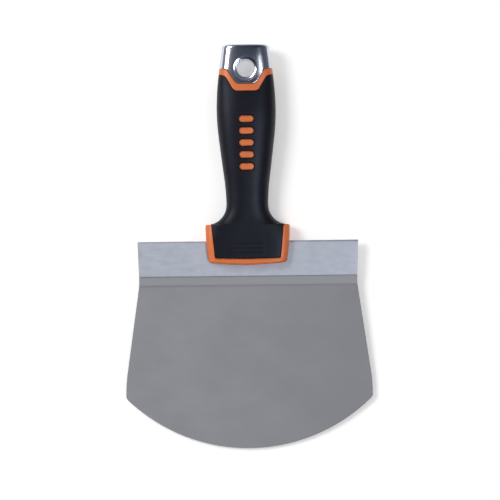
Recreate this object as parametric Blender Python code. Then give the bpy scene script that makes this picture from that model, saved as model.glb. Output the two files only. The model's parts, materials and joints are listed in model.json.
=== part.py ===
"""Flexible putty knife: a round-edged spring-steel blade held in a folded rail, a full tang riveted
behind the rail, and a two-component handle that ends in a plated striking cap with a hanging eyelet.

Units are metres and +Z is up. Each piece is drawn in the knife's own flat frame: x across the blade,
y from the blade's edge towards the cap, z out of the front face, and the origin in the middle of the
rail's lip. The empty knife_at_rest then lays the knife on the ground plane, on its belly and the back of
its ferrule, with the middle of its bounding box above the world's origin.

The blade is one sheet of steel that bends. It is drawn here as blade_root, which the rail holds, and
blade, which flexes about the line at FLEX_Y.
"""

import math

import bmesh
import bpy
from mathutils import Matrix, Vector

MM = 0.001
DEG = math.pi / 180

# Clearances between pieces that touch on the real knife
GAP = 0.3 * MM
SHEET_GAP = 0.2 * MM

# Blade
BLADE_HALF = 75.0 * MM
BLADE_THICK = 0.5 * MM
BLADE_TIP_Y = -104.8 * MM
BLADE_EDGE_RADIUS = 106.5 * MM
BLADE_CORNER_RADIUS = 3.0 * MM
WAIST_HALF = 66.4 * MM
WAIST_Y = -5.5 * MM
FLANK_ANGLE = 8.26 * DEG
FLANK_RADIUS = 85.0 * MM
FLEX_Y = BLADE_TIP_Y / 3  # the bent tip of an end-loaded sheet points back to this line

# Rail: one strip folded over the blade's top edge
RAIL_TOP_Y = 21.4 * MM
RAIL_TOP_HALF = 67.2 * MM
RAIL_SHEET = 0.8 * MM
RAIL_HALF_THICK = BLADE_THICK / 2 + SHEET_GAP + RAIL_SHEET
RAIL_SLOT_HALF = BLADE_THICK / 2 + SHEET_GAP

# Handle outline
FERRULE_BOTTOM_Y = 6.8 * MM
FERRULE_TOP_Y = 30.0 * MM
FERRULE_BOTTOM_HALF = 23.6 * MM
FERRULE_TOP_HALF = 25.7 * MM
FERRULE_END_ROUND = 1.6 * MM
FERRULE_CROWN = 1.4 * MM
FERRULE_CROWN_LENGTH = 8.0 * MM
FERRULE_SIDE_POWER = 1.6
NECK_HALF = 12.75 * MM
SHOULDER_RADIUS = 12.2 * MM
SHOULDER_Y = 43.5 * MM
HORN_HEIGHT = 1.3 * MM
HANDLE_TOP_Y = 140.7 * MM
CAP_END_ROUND = 2.0 * MM

# (y, half) stations above the shoulder, and (y, value) stations along the whole handle
WIDTH_STATIONS = [
    (43.5, 12.75), (54.5, 13.3), (66.6, 14.8), (78.8, 16.3), (91.0, 17.6),
    (102.0, 18.0), (113.0, 17.5), (125.0, 16.3), (140.7, 14.4),
]
THICK_STATIONS = [
    (6.8, 7.6), (31.0, 8.0), (46.0, 9.0), (62.0, 9.9), (82.0, 10.8),
    (98.0, 11.0), (108.0, 10.3), (118.0, 9.2), (134.0, 9.0), (140.7, 8.6),
]
SQUARE_STATIONS = [
    (6.8, 5.0), (22.0, 4.6), (32.0, 3.0), (42.0, 2.5), (70.0, 2.5),
    (100.0, 2.5), (112.0, 2.6), (122.0, 2.9), (140.7, 3.0),
]

# Orange collar below the cap: (side y, flat y, half of the flat, half where the steep part ends,
# slope of the side)
COLLAR_UPPER = (125.7 * MM, 116.5 * MM, 5.9 * MM, 11.9 * MM, 0.0)
COLLAR_LOWER = (121.2 * MM, 112.2 * MM, 7.3 * MM, 12.6 * MM, 0.3)
COLLAR_BEND = 3.5 * MM

# Soft panel on the ferrule
PANEL_TOP = (22.0 * MM, 31.5 * MM)
PANEL_BOTTOM = (19.9 * MM, 11.1 * MM)
PANEL_CROWN = 0.6 * MM
PANEL_CORNER = 0.8 * MM
HORN_SPLIT_RISE = 1.5 * MM

GRIP_THICK = 1.8 * MM
CAP_WALL = 1.5 * MM
CAP_END_WALL = 3.0 * MM

# Row of plain bars that stand through windows in the soft grip
BAR_COUNT = 5
BAR_PITCH = 7.2 * MM
BAR_FIRST_Y = 66.3 * MM
BAR_LENGTH = 9.0 * MM
BAR_WIDTH = 4.2 * MM

# Tang
TANG_THICK = 2.0 * MM
TANG_FOOT_HALF = 18.0 * MM
TANG_FOOT_Y = 9.5 * MM
TANG_FOOT_TOP_Y = 22.5 * MM
TANG_JOG_LENGTH = 6.0 * MM
TANG_STEM_HALF = 7.5 * MM
TANG_PADDLE_HALF = 10.5 * MM
TANG_PADDLE_Y = 108.0 * MM
TANG_LOCK_HOLES = [52.0 * MM, 100.0 * MM]
TANG_LOCK_RADIUS = 3.0 * MM
TANG_FOOT_BACK_Z = -(RAIL_HALF_THICK + SHEET_GAP + TANG_THICK / 2)

# Rail rivets
RIVET_RADIUS = 1.75 * MM
RIVET_HEAD_RADIUS = 3.2 * MM
RIVET_HEAD = 1.0 * MM
RIVET_HEAD_GAP = 0.1 * MM
RIVET_Y = 15.5 * MM
RIVETS = {"left": -12.0 * MM, "middle": 0.0, "right": 12.0 * MM}

# Hanging eyelet
EYELET_Y = 125.8 * MM
EYELET_BORE = 5.4 * MM
EYELET_TUBE = 6.3 * MM
EYELET_FLANGE = 7.5 * MM
EYELET_SEAT_Z = 9.25 * MM

AROUND = 36
FAR = 60.0 * MM

COLOURS = {
    "spring_steel": ((0.335, 0.33, 0.332), 0.63, 1.0),
    "zinc_sheet": ((0.50, 0.513, 0.56), 0.58, 1.0),
    "mild_steel": ((0.46, 0.46, 0.48), 0.50, 1.0),
    "orange_plastic": ((0.71, 0.162, 0.035), 0.40, 0.0),
    "black_rubber": ((0.006, 0.0056, 0.0086), 0.45, 0.0),
    "chrome": ((0.63, 0.655, 0.715), 0.17, 1.0),
}


# ---------------------------------------------------------------- outlines


def rounded(corners, steps=6):
    """Open path through (x, y, radius) corners, each corner with a radius turned into an arc."""
    path = []
    for i, (x, y, radius) in enumerate(corners):
        here = Vector((x, y))
        if radius <= 0 or i in (0, len(corners) - 1):
            path.append(here)
            continue
        before = (Vector(corners[i - 1][:2]) - here).normalized()
        after = (Vector(corners[i + 1][:2]) - here).normalized()
        half = before.angle(after) / 2
        centre = here + (before + after).normalized() * (radius / math.sin(half))
        start = here + before * (radius / math.tan(half)) - centre
        end = here + after * (radius / math.tan(half)) - centre
        turn = start.angle_signed(end)
        for k in range(steps + 1):
            path.append(centre + Matrix.Rotation(-turn * k / steps, 2) @ start)
    return path


def mirrored(half_path):
    """Closed outline from the right half of a shape, given from one end of the y axis to the other."""
    left = [Vector((-p.x, p.y)) for p in reversed(half_path) if p.x > 1e-9]
    return list(half_path) + left


def offset(outline, distance):
    """Closed outline moved outwards by distance, with mitred corners."""
    area = sum(a.x * b.y - b.x * a.y for a, b in zip(outline, outline[1:] + outline[:1]))
    side = distance if area > 0 else -distance
    moved = []
    for i, here in enumerate(outline):
        along = (here - outline[i - 1]).normalized()
        onward = (outline[(i + 1) % len(outline)] - here).normalized()
        first, second = Vector((along.y, -along.x)), Vector((onward.y, -onward.x))
        bisector = (first + second).normalized()
        moved.append(here + bisector * (side / bisector.dot(first)))
    return moved


def clipped(outline, y, keep_above):
    """The part of a closed outline above or below the line at y."""
    side = 1 if keep_above else -1
    kept = []
    for a, b in zip(outline, outline[1:] + outline[:1]):
        inside_a, inside_b = side * (a.y - y) >= 0, side * (b.y - y) >= 0
        if inside_a:
            kept.append(a)
        if inside_a != inside_b:
            kept.append(a.lerp(b, (y - a.y) / (b.y - a.y)))
    return kept


def blade_outline():
    """Whole sheet: straight sides in the rail, flared flanks, round corners and a round edge."""
    arc_y = BLADE_TIP_Y + BLADE_EDGE_RADIUS
    flank_y = WAIST_Y - (BLADE_HALF - WAIST_HALF) / math.tan(FLANK_ANGLE)
    corner_angle = math.asin(BLADE_HALF / BLADE_EDGE_RADIUS)
    corners = [
        (WAIST_HALF, RAIL_TOP_Y - RAIL_HALF_THICK, 0),
        (WAIST_HALF, WAIST_Y, 12 * MM),
        (BLADE_HALF, flank_y, FLANK_RADIUS),
        (BLADE_HALF, arc_y - BLADE_EDGE_RADIUS * math.cos(corner_angle), BLADE_CORNER_RADIUS),
    ]
    edge_steps = 14
    for k in range(edge_steps - 1, -1, -1):
        angle = corner_angle * k / edge_steps
        x, y = BLADE_EDGE_RADIUS * math.sin(angle), arc_y - BLADE_EDGE_RADIUS * math.cos(angle)
        corners.append((x, y, 0))
    return mirrored(rounded(corners, 4))


def collar_edge(side_y, flat_y, flat_half, slope_half, side_slope):
    """One edge of the collar, from far right to far left: side, steep part, flat in the middle."""
    half = rounded([
        (FAR, side_y + side_slope * (FAR - slope_half), 0),
        (slope_half, side_y, COLLAR_BEND),
        (flat_half, flat_y, COLLAR_BEND),
        (0, flat_y, 0),
    ], 4)
    return half[:-1] + [Vector((-p.x, p.y)) for p in reversed(half[:-1])]


def cap_region():
    top = HANDLE_TOP_Y + FAR
    return collar_edge(*COLLAR_UPPER) + [Vector((-FAR, top)), Vector((FAR, top))]


def grip_region():
    """Everything between the collar and the ferrule's horns, and the panel down the ferrule's face."""
    bottom_x, bottom_y = PANEL_BOTTOM
    half = rounded([
        (0, bottom_y - PANEL_CROWN, 0),
        (bottom_x / 2, bottom_y - 0.7 * PANEL_CROWN, 0),
        (bottom_x, bottom_y, PANEL_CORNER),
        (*PANEL_TOP, 0),
        (FAR, PANEL_TOP[1] + HORN_SPLIT_RISE * FAR / PANEL_TOP[0], 0),
    ], 3)
    left = [Vector((-p.x, p.y)) for p in reversed(half[1:])]
    return left + half + collar_edge(*COLLAR_LOWER)


def bar_outline(index):
    """Upright coordinates of one bar: a slot shape lying across the handle."""
    middle_y = BAR_FIRST_Y + index * BAR_PITCH
    radius = BAR_WIDTH / 2
    straight = BAR_LENGTH / 2 - radius
    points = []
    for side in (1, -1):
        for k in range(7):
            angle = (-90 + 30 * k) * DEG
            points.append(Vector((
                side * (straight + radius * math.cos(angle)),
                middle_y + side * radius * math.sin(angle),
            )))
    return points


# ---------------------------------------------------------------- handle form


def along(stations, y):
    """Smooth curve through (y, value) stations in millimetres. The y given and the result are metres."""
    at = min(max(y / MM, stations[0][0]), stations[-1][0])
    slopes = [0.0]
    for before, here, after in zip(stations, stations[1:], stations[2:]):
        slopes.append((after[1] - before[1]) / (after[0] - before[0]))
    last, previous = stations[-1], stations[-2]
    slopes.append((last[1] - previous[1]) / (last[0] - previous[0]))
    for i in range(len(stations) - 1):
        (y0, v0), (y1, v1) = stations[i], stations[i + 1]
        if at <= y1:
            span = y1 - y0
            t = (at - y0) / span
            start = v0 * (1 + 2 * t) * (1 - t) ** 2 + slopes[i] * span * t * (1 - t) ** 2
            end = v1 * t * t * (3 - 2 * t) - slopes[i + 1] * span * t * t * (1 - t)
            return (start + end) * MM
    return stations[-1][1] * MM


def half_width(y):
    """Half of the handle's width: ferrule side, round horn, shoulder arc, then the barrel."""
    horn_foot = NECK_HALF + SHOULDER_RADIUS
    if y <= FERRULE_TOP_Y:
        share = (FERRULE_TOP_Y - y) / (FERRULE_TOP_Y - FERRULE_BOTTOM_Y)
        return FERRULE_TOP_HALF - (FERRULE_TOP_HALF - FERRULE_BOTTOM_HALF) * share ** FERRULE_SIDE_POWER
    if y <= FERRULE_TOP_Y + HORN_HEIGHT:
        rise = (y - FERRULE_TOP_Y) / HORN_HEIGHT
        return horn_foot + (FERRULE_TOP_HALF - horn_foot) * math.sqrt(max(0.0, 1 - rise * rise))
    if y <= SHOULDER_Y:
        drop = min(1.0, (SHOULDER_Y - y) / SHOULDER_RADIUS)
        return horn_foot - SHOULDER_RADIUS * math.sqrt(1 - drop * drop)
    return along(WIDTH_STATIONS, y)


def ring_heights():
    """Heights of the handle's sections, closer together where its outline turns."""
    heights = [FERRULE_BOTTOM_Y + f * MM for f in (FERRULE_END_ROUND / MM, 6, 11, 16, 20)]
    heights += [FERRULE_TOP_Y + HORN_HEIGHT * math.sin(a * DEG) for a in (0, 45)]
    heights += [SHOULDER_Y - SHOULDER_RADIUS * math.sin(a * DEG) for a in (89, 75, 60, 45, 30, 15, 0)]
    barrel_top = HANDLE_TOP_Y - CAP_END_ROUND
    steps = 15
    return heights + [SHOULDER_Y + (barrel_top - SHOULDER_Y) * k / steps for k in range(1, steps + 1)]


def section(y, width, thick):
    """One section of the handle at y: a rounded rectangle of the form |x/w|^n + |z/t|^n = 1."""
    power = 2 / (along(SQUARE_STATIONS, y) / MM)
    fade = max(0.0, 1 - (y - FERRULE_BOTTOM_Y) / FERRULE_CROWN_LENGTH)
    points = []
    for k in range(AROUND):
        c, s = math.cos(2 * math.pi * k / AROUND), math.sin(2 * math.pi * k / AROUND)
        x = math.copysign(abs(c) ** power, c)
        z = math.copysign(abs(s) ** power, s)
        lift = FERRULE_CROWN * fade * x * x
        points.append(Vector((width * x, y + lift, thick * z)))
    return points


def handle_form(name, inset=0.0, bottom=FERRULE_BOTTOM_Y, top=HANDLE_TOP_Y):
    """The handle's whole outer form, or the same form moved inwards, as a helper object for Booleans."""
    rings = []
    whole = inset == 0.0
    if whole:
        for a in (0, 30, 60):
            pulled = FERRULE_END_ROUND * (1 - math.sin(a * DEG))
            y = FERRULE_BOTTOM_Y + FERRULE_END_ROUND * (1 - math.cos(a * DEG))
            rings.append(section(y, half_width(y) - pulled, along(THICK_STATIONS, y) - pulled))
    else:
        rings.append(section(bottom, half_width(bottom) - inset, along(THICK_STATIONS, bottom) - inset))
    for y in ring_heights():
        if bottom < y < top:
            rings.append(section(y, half_width(y) - inset, along(THICK_STATIONS, y) - inset))
    if whole:
        for a in (30, 60, 90):
            pulled = CAP_END_ROUND * (1 - math.cos(a * DEG))
            y = HANDLE_TOP_Y - CAP_END_ROUND * (1 - math.sin(a * DEG))
            rings.append(section(y, half_width(y) - pulled, along(THICK_STATIONS, y) - pulled))
    else:
        rings.append(section(top, half_width(top) - inset, along(THICK_STATIONS, top) - inset))
    return helper(loft(name, rings))


# ---------------------------------------------------------------- mesh builders


def add_object(name, bm):
    """Turns a bmesh into an object lying in the knife's frame."""
    bmesh.ops.recalc_face_normals(bm, faces=bm.faces)
    mesh = bpy.data.meshes.new(name)
    bm.to_mesh(mesh)
    bm.free()
    obj = bpy.data.objects.new(name, mesh)
    bpy.context.scene.collection.objects.link(obj)
    obj.parent = bpy.data.objects["knife_at_rest"]
    return obj


def helper(obj):
    """Marks an object as a cutter or a guide, which isn't a piece of the knife."""
    obj.hide_render = True
    obj.display_type = "WIRE"
    return obj


def loft(name, rings):
    """Closed solid through rings of equally many points, its ends closed by fans."""
    bm = bmesh.new()
    loops = [[bm.verts.new(p) for p in ring] for ring in rings]
    count = len(rings[0])
    for lower, upper in zip(loops, loops[1:]):
        for k in range(count):
            n = (k + 1) % count
            bm.faces.new((lower[k], lower[n], upper[n], upper[k]))
    for loop in (loops[0], loops[-1]):
        middle = bm.verts.new(sum((v.co for v in loop), Vector()) / count)
        for k in range(count):
            bm.faces.new((loop[k], loop[(k + 1) % count], middle))
    return add_object(name, bm)


def prism(name, outline, low, high):
    """Outline in x and y, extruded from z low to z high."""
    bm = bmesh.new()
    face = bm.faces.new([bm.verts.new((p.x, p.y, low)) for p in outline])
    raised = bmesh.ops.extrude_face_region(bm, geom=[face])
    moved = [v for v in raised["geom"] if isinstance(v, bmesh.types.BMVert)]
    bmesh.ops.translate(bm, verts=moved, vec=(0, 0, high - low))
    return add_object(name, bm)


def lathe(name, profile, x, y, steps):
    """Closed (radius, z) profile turned about the z axis through (x, y). A radius of 0 is on the axis."""
    bm = bmesh.new()
    loop = [bm.verts.new((x + r, y, z)) for r, z in profile]
    edges = [bm.edges.new((a, b)) for a, b in zip(loop, loop[1:])]
    if profile[0][0] > 0:
        edges.append(bm.edges.new((loop[-1], loop[0])))
    bmesh.ops.spin(
        bm, geom=loop + edges, cent=(x, y, 0), axis=(0, 0, 1),
        angle=2 * math.pi, steps=steps, use_merge=True, use_duplicate=False,
    )
    bmesh.ops.remove_doubles(bm, verts=bm.verts, dist=0.001 * MM)
    return add_object(name, bm)


def drill(name, x, y, radius, low, high, steps=28):
    """Helper cylinder along z."""
    return helper(lathe(name, [(0, low), (radius, low), (radius, high), (0, high)], x, y, steps))


def boolean(obj, operation, *others):
    """Adds one Boolean to obj for each other object, and returns obj."""
    for other in others:
        modifier = obj.modifiers.new(other.name, "BOOLEAN")
        modifier.operation = operation
        modifier.object = other
        modifier.solver = "EXACT"
    return obj


def finish(obj, colour):
    """Gives a piece its material, and smooth shading that keeps its hard edges."""
    material = bpy.data.materials.get(colour) or bpy.data.materials.new(colour)
    material.use_nodes = True
    shader = material.node_tree.nodes["Principled BSDF"]
    rgb, roughness, metallic = COLOURS[colour]
    shader.inputs["Base Color"].default_value = (*rgb, 1.0)
    shader.inputs["Roughness"].default_value = roughness
    shader.inputs["Metallic"].default_value = metallic
    obj.data.materials.append(material)
    obj.data.shade_smooth()
    obj.data.set_sharp_from_angle(angle=35 * DEG)
    return obj


# ---------------------------------------------------------------- blade and rail


def blade_sheets():
    """The part that the rail holds, with its rivet holes, and the part that flexes."""
    outline = blade_outline()
    half_gap = GAP / 2
    faces = (-BLADE_THICK / 2, BLADE_THICK / 2)
    root = prism("blade_root", clipped(outline, FLEX_Y + half_gap, True), *faces)
    boolean(root, "DIFFERENCE", *rivet_drills("root"))
    finish(root, "spring_steel")
    finish(prism("blade", clipped(outline, FLEX_Y - half_gap, False), *faces), "spring_steel")


def rail_profile():
    """(y, z) of the folded strip, from the front lip over the fold to the back lip and back inside."""
    fold_y = RAIL_TOP_Y - RAIL_HALF_THICK
    outside = [(0.0, RAIL_HALF_THICK)]
    inside = [(0.0, -RAIL_SLOT_HALF)]
    steps = 8
    for k in range(steps + 1):
        angle = math.pi * k / steps
        outside.append((fold_y + RAIL_HALF_THICK * math.sin(angle), RAIL_HALF_THICK * math.cos(angle)))
        inside.append((fold_y + RAIL_SLOT_HALF * math.sin(angle), -RAIL_SLOT_HALF * math.cos(angle)))
    return outside + [(0.0, -RAIL_HALF_THICK)] + inside + [(0.0, RAIL_SLOT_HALF)]


def back_rail():
    """The folded strip, a little narrower at its lip than at its fold, with its rivet holes."""
    bm = bmesh.new()
    profile = rail_profile()
    ends = []
    for side in (-1, 1):
        ends.append([
            bm.verts.new((side * (WAIST_HALF + (RAIL_TOP_HALF - WAIST_HALF) * y / RAIL_TOP_Y), y, z))
            for y, z in profile
        ])
    count = len(profile)
    for k in range(count):
        n = (k + 1) % count
        bm.faces.new((ends[0][k], ends[0][n], ends[1][n], ends[1][k]))
    for end in ends:
        bm.faces.new(end)
    rail = add_object("back_rail", bm)
    boolean(rail, "DIFFERENCE", *rivet_drills("rail"))
    finish(rail, "zinc_sheet")


def rivet_drills(owner):
    """One clearance hole for each rivet."""
    return [
        drill(f"cut_{owner}_{side}", x, RIVET_Y, RIVET_RADIUS + SHEET_GAP, -FAR, FAR, 20)
        for side, x in RIVETS.items()
    ]


def rail_rivets():
    """Solid rivets through the tang's foot, the rail and the blade, with a domed head at each end."""
    front = RAIL_HALF_THICK + RIVET_HEAD_GAP
    back = TANG_FOOT_BACK_Z - TANG_THICK / 2 - RIVET_HEAD_GAP
    steps = 4
    profile = []
    for k in range(steps + 1):
        angle = math.pi / 2 * k / steps
        profile.append((RIVET_HEAD_RADIUS * math.sin(angle), front + RIVET_HEAD * math.cos(angle)))
    profile += [(RIVET_RADIUS, front), (RIVET_RADIUS, back)]
    for k in range(steps + 1):
        angle = math.pi / 2 * (1 - k / steps)
        profile.append((RIVET_HEAD_RADIUS * math.sin(angle), back - RIVET_HEAD * math.cos(angle)))
    for side, x in RIVETS.items():
        finish(lathe(f"rail_rivet_{side}", profile, x, RIVET_Y, 20), "mild_steel")


# ---------------------------------------------------------------- tang


def tang_solid(name, grow):
    """The tang, or with grow the room it needs: foot behind the rail, joggle, stem and paddle end."""
    top = HANDLE_TOP_Y - CAP_END_WALL - GAP
    jog_top = TANG_FOOT_TOP_Y + TANG_JOG_LENGTH
    half = rounded([
        (0, TANG_FOOT_Y, 0),
        (TANG_FOOT_HALF, TANG_FOOT_Y, 0),
        (TANG_FOOT_HALF, TANG_FOOT_TOP_Y + 2 * MM, 3 * MM),
        (TANG_STEM_HALF, jog_top + 3 * MM, 4 * MM),
        (TANG_STEM_HALF, TANG_PADDLE_Y, 4 * MM),
        (TANG_PADDLE_HALF, TANG_PADDLE_Y + 6 * MM, 4 * MM),
        (TANG_PADDLE_HALF, top, 3 * MM),
        (0, top, 0),
    ], 3)
    outline = offset(mirrored(half), grow) if grow else mirrored(half)
    face = prism(name, outline, -FAR / 2, FAR / 2)
    front, back = TANG_THICK / 2 + grow, -TANG_THICK / 2 - grow
    side_view = [
        (-FAR, TANG_FOOT_BACK_Z + front), (TANG_FOOT_TOP_Y + grow / 2, TANG_FOOT_BACK_Z + front),
        (jog_top + grow / 2, front), (HANDLE_TOP_Y + FAR, front),
        (HANDLE_TOP_Y + FAR, back), (jog_top - grow / 2, back),
        (TANG_FOOT_TOP_Y - grow / 2, TANG_FOOT_BACK_Z + back), (-FAR, TANG_FOOT_BACK_Z + back),
    ]
    bm = bmesh.new()
    ends = [[bm.verts.new((x, y, z)) for y, z in side_view] for x in (-FAR, FAR)]
    count = len(side_view)
    for k in range(count):
        n = (k + 1) % count
        bm.faces.new((ends[0][k], ends[0][n], ends[1][n], ends[1][k]))
    for end in ends:
        bm.faces.new(end)
    boolean(face, "INTERSECT", helper(add_object(f"cut_{name}_side", bm)))
    holes = [
        drill(f"cut_{name}_lock_{i}", 0, y, TANG_LOCK_RADIUS - grow, -FAR, FAR, 20)
        for i, y in enumerate(TANG_LOCK_HOLES)
    ]
    return boolean(face, "DIFFERENCE", *holes)


def tang():
    piece = tang_solid("tang", 0.0)
    eyelet_room = drill("cut_tang_eyelet", 0, EYELET_Y, EYELET_TUBE + GAP, -FAR, FAR)
    boolean(piece, "DIFFERENCE", eyelet_room, *rivet_drills("tang"))
    finish(piece, "mild_steel")


# ---------------------------------------------------------------- handle


def soft_grip():
    """Sleeve round the core from the collar to the shoulders, and a panel down each ferrule face."""
    grip = prism("soft_grip", grip_region(), -FAR / 2, FAR / 2)
    boolean(grip, "INTERSECT", handle_form("form_for_grip"))
    bottom = FERRULE_BOTTOM_Y - FERRULE_CROWN
    boolean(grip, "DIFFERENCE", handle_form("inside_of_grip", GRIP_THICK, bottom, HANDLE_TOP_Y))
    windows = [
        helper(prism(f"cut_window_{i}", offset(bar_outline(i), GAP), -FAR, FAR)) for i in range(BAR_COUNT)
    ]
    boolean(grip, "DIFFERENCE", *windows)
    finish(grip, "black_rubber")


def end_cap():
    """Plated shell over the end of the handle, with a thick end to strike with."""
    cap = prism("end_cap", cap_region(), -FAR / 2, FAR / 2)
    boolean(cap, "INTERSECT", handle_form("form_for_cap"))
    inside = handle_form("inside_of_cap", CAP_WALL, SHOULDER_Y, HANDLE_TOP_Y - CAP_END_WALL)
    eyelet_room = drill("cut_cap_eyelet", 0, EYELET_Y, EYELET_TUBE + GAP, -FAR, FAR)
    boolean(cap, "DIFFERENCE", inside, eyelet_room)
    finish(cap, "chrome")


def handle_core():
    """Hard core: collar, bars and ferrule at the surface, and a stem inside the grip and the cap."""
    core = handle_form("handle_core")
    core.hide_render = False
    core.display_type = "TEXTURED"
    grip_room = helper(prism("cut_core_grip", offset(grip_region(), GAP), -FAR, FAR))
    bottom = FERRULE_BOTTOM_Y - FERRULE_CROWN
    stem = handle_form("stem_in_grip", GRIP_THICK + GAP, bottom, HANDLE_TOP_Y)
    bars = [helper(prism(f"bar_{i}", bar_outline(i), -2 * FAR, 2 * FAR)) for i in range(BAR_COUNT)]
    boolean(grip_room, "DIFFERENCE", stem, *bars)
    cap_room = helper(prism("cut_core_cap", offset(cap_region(), GAP), -FAR, FAR))
    tail_top = HANDLE_TOP_Y - CAP_END_WALL - GAP
    boolean(cap_room, "DIFFERENCE", handle_form("stem_in_cap", CAP_WALL + GAP, SHOULDER_Y, tail_top))
    rail_room = rail_slot()
    tang_room = helper(tang_solid("cut_core_tang", GAP))
    head_back = TANG_FOOT_BACK_Z - TANG_THICK / 2 - RIVET_HEAD_GAP - RIVET_HEAD - GAP
    head_front = RAIL_HALF_THICK + RIVET_HEAD_GAP + RIVET_HEAD + GAP
    heads = [
        drill(f"cut_core_head_{side}", x, RIVET_Y, RIVET_HEAD_RADIUS + GAP, head_back, head_front, 20)
        for side, x in RIVETS.items()
    ]
    eyelet_room = drill("cut_core_eyelet", 0, EYELET_Y, EYELET_TUBE + GAP, -FAR, FAR)
    boolean(core, "DIFFERENCE", grip_room, cap_room, rail_room, tang_room, *heads, eyelet_room)
    finish(core, "orange_plastic")


def rail_slot():
    """Room for the rail across the foot of the core."""
    reach, top, deep = 2 * FAR, RAIL_TOP_Y + GAP, RAIL_HALF_THICK + GAP
    outline = [Vector((-reach, -FAR)), Vector((reach, -FAR)), Vector((reach, top)), Vector((-reach, top))]
    return helper(prism("cut_core_rail", outline, -deep, deep))


def hang_eyelet():
    """Tube through the cap, the core and the tang, its two ends rolled over into round flanges."""
    roll = (EYELET_FLANGE - EYELET_BORE) / 2
    middle = EYELET_BORE + roll
    half_turn = [math.pi * k / 8 for k in range(9)]
    profile = [
        (middle - roll * math.cos(angle), EYELET_SEAT_Z + roll * math.sin(angle)) for angle in half_turn
    ]
    profile += [(EYELET_TUBE, EYELET_SEAT_Z), (EYELET_TUBE, -EYELET_SEAT_Z)]
    profile += [
        (middle + roll * math.cos(angle), -EYELET_SEAT_Z - roll * math.sin(angle)) for angle in half_turn
    ]
    finish(lathe("hang_eyelet", profile, 0, EYELET_Y, 32), "chrome")


# ---------------------------------------------------------------- assembly


def clear_scene():
    for obj in list(bpy.data.objects):
        bpy.data.objects.remove(obj)


def lay_down():
    """Turns the flat frame so that the belly and the back edge of the ferrule stand on the ground."""
    foot_y = FERRULE_BOTTOM_Y + FERRULE_END_ROUND
    foot = along(THICK_STATIONS, foot_y)
    tilt = max(math.atan2(along(THICK_STATIONS, y) - foot, y - foot_y) for y in ring_heights()[1:])
    turned = Matrix.Rotation(tilt, 4, "X")
    support = turned @ Vector((0, foot_y, -foot))
    tip = turned @ Vector((0, BLADE_TIP_Y, 0))
    cap_end = turned @ Vector((0, HANDLE_TOP_Y, CAP_END_ROUND - along(THICK_STATIONS, HANDLE_TOP_Y)))
    empty = bpy.data.objects.new("knife_at_rest", None)
    bpy.context.scene.collection.objects.link(empty)
    empty.rotation_euler = (tilt, 0, 0)
    empty.location = (0, -(tip.y + cap_end.y) / 2, -support.z)


clear_scene()
lay_down()
blade_sheets()
back_rail()
rail_rivets()
tang()
handle_core()
soft_grip()
end_cap()
hang_eyelet()
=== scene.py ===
"""Looks of the flexible putty knife: its blade, rail and two-component handle as finished meshes with
procedural materials, on a pale floor under soft studio light.

Meshes are built in the knife's flat frame, in metres: x across the blade, y from the blade's edge towards
the cap, z out of the front face, and the origin in the middle of the rail's lip. KNIFE places that frame in
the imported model's frame. The handle's skin is one grid of columns, which run along the handle, and rows,
which go round it; the grip, the core and the cap are its parts, cut along grid lines.
"""

import json
import math

import bmesh
import bpy
from mathutils import Matrix, Vector


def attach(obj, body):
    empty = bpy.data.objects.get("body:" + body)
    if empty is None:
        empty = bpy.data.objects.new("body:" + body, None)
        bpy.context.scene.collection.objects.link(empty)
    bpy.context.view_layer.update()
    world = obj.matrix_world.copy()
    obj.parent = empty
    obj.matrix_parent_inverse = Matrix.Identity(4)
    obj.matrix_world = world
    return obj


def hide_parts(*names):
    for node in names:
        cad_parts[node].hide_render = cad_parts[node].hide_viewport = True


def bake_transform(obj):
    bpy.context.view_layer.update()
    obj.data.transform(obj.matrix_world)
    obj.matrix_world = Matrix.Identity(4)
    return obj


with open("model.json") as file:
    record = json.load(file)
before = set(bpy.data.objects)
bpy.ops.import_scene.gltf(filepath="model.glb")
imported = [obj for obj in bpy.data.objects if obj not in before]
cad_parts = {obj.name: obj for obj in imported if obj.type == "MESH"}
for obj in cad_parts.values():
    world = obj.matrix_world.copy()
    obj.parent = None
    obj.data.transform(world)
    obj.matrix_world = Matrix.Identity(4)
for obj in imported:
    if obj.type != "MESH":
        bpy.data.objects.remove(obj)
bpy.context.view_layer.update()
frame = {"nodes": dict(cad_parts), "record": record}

MM = 0.001
DEG = math.pi / 180


# ---------------------------------------------------------------- the flat frame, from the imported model


def flat_frame():
    """Matrix from the knife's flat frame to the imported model's frame."""
    axes = {mount["name"]: Vector(mount["axis"]) for mount in frame["record"]["mounts"]}
    along, out = axes["striking_face"].normalized(), axes["blade_front"].normalized()
    turn = Matrix((along.cross(out), along, out))
    points = [turn @ v.co for v in frame["nodes"]["back_rail"].data.vertices]
    lip = min(p.y for p in points)
    middle = (min(p.z for p in points) + max(p.z for p in points)) / 2
    back = turn.transposed()
    return Matrix.Translation(back @ Vector((0, lip, middle))) @ back.to_4x4()


KNIFE = flat_frame()


def flat_box(node):
    """Lowest and highest corner of a CAD node in the flat frame."""
    to_flat = KNIFE.inverted()
    points = [to_flat @ v.co for v in frame["nodes"][node].data.vertices]
    return Vector(map(min, zip(*points))), Vector(map(max, zip(*points)))


BLADE_LOW, BLADE_HIGH = flat_box("blade")
RAIL_HIGH = flat_box("back_rail")[1]
CORE_LOW = flat_box("handle_core")[0]
CAP_HIGH = flat_box("end_cap")[1]
EYELET_LOW, EYELET_HIGH = flat_box("hang_eyelet")

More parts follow.
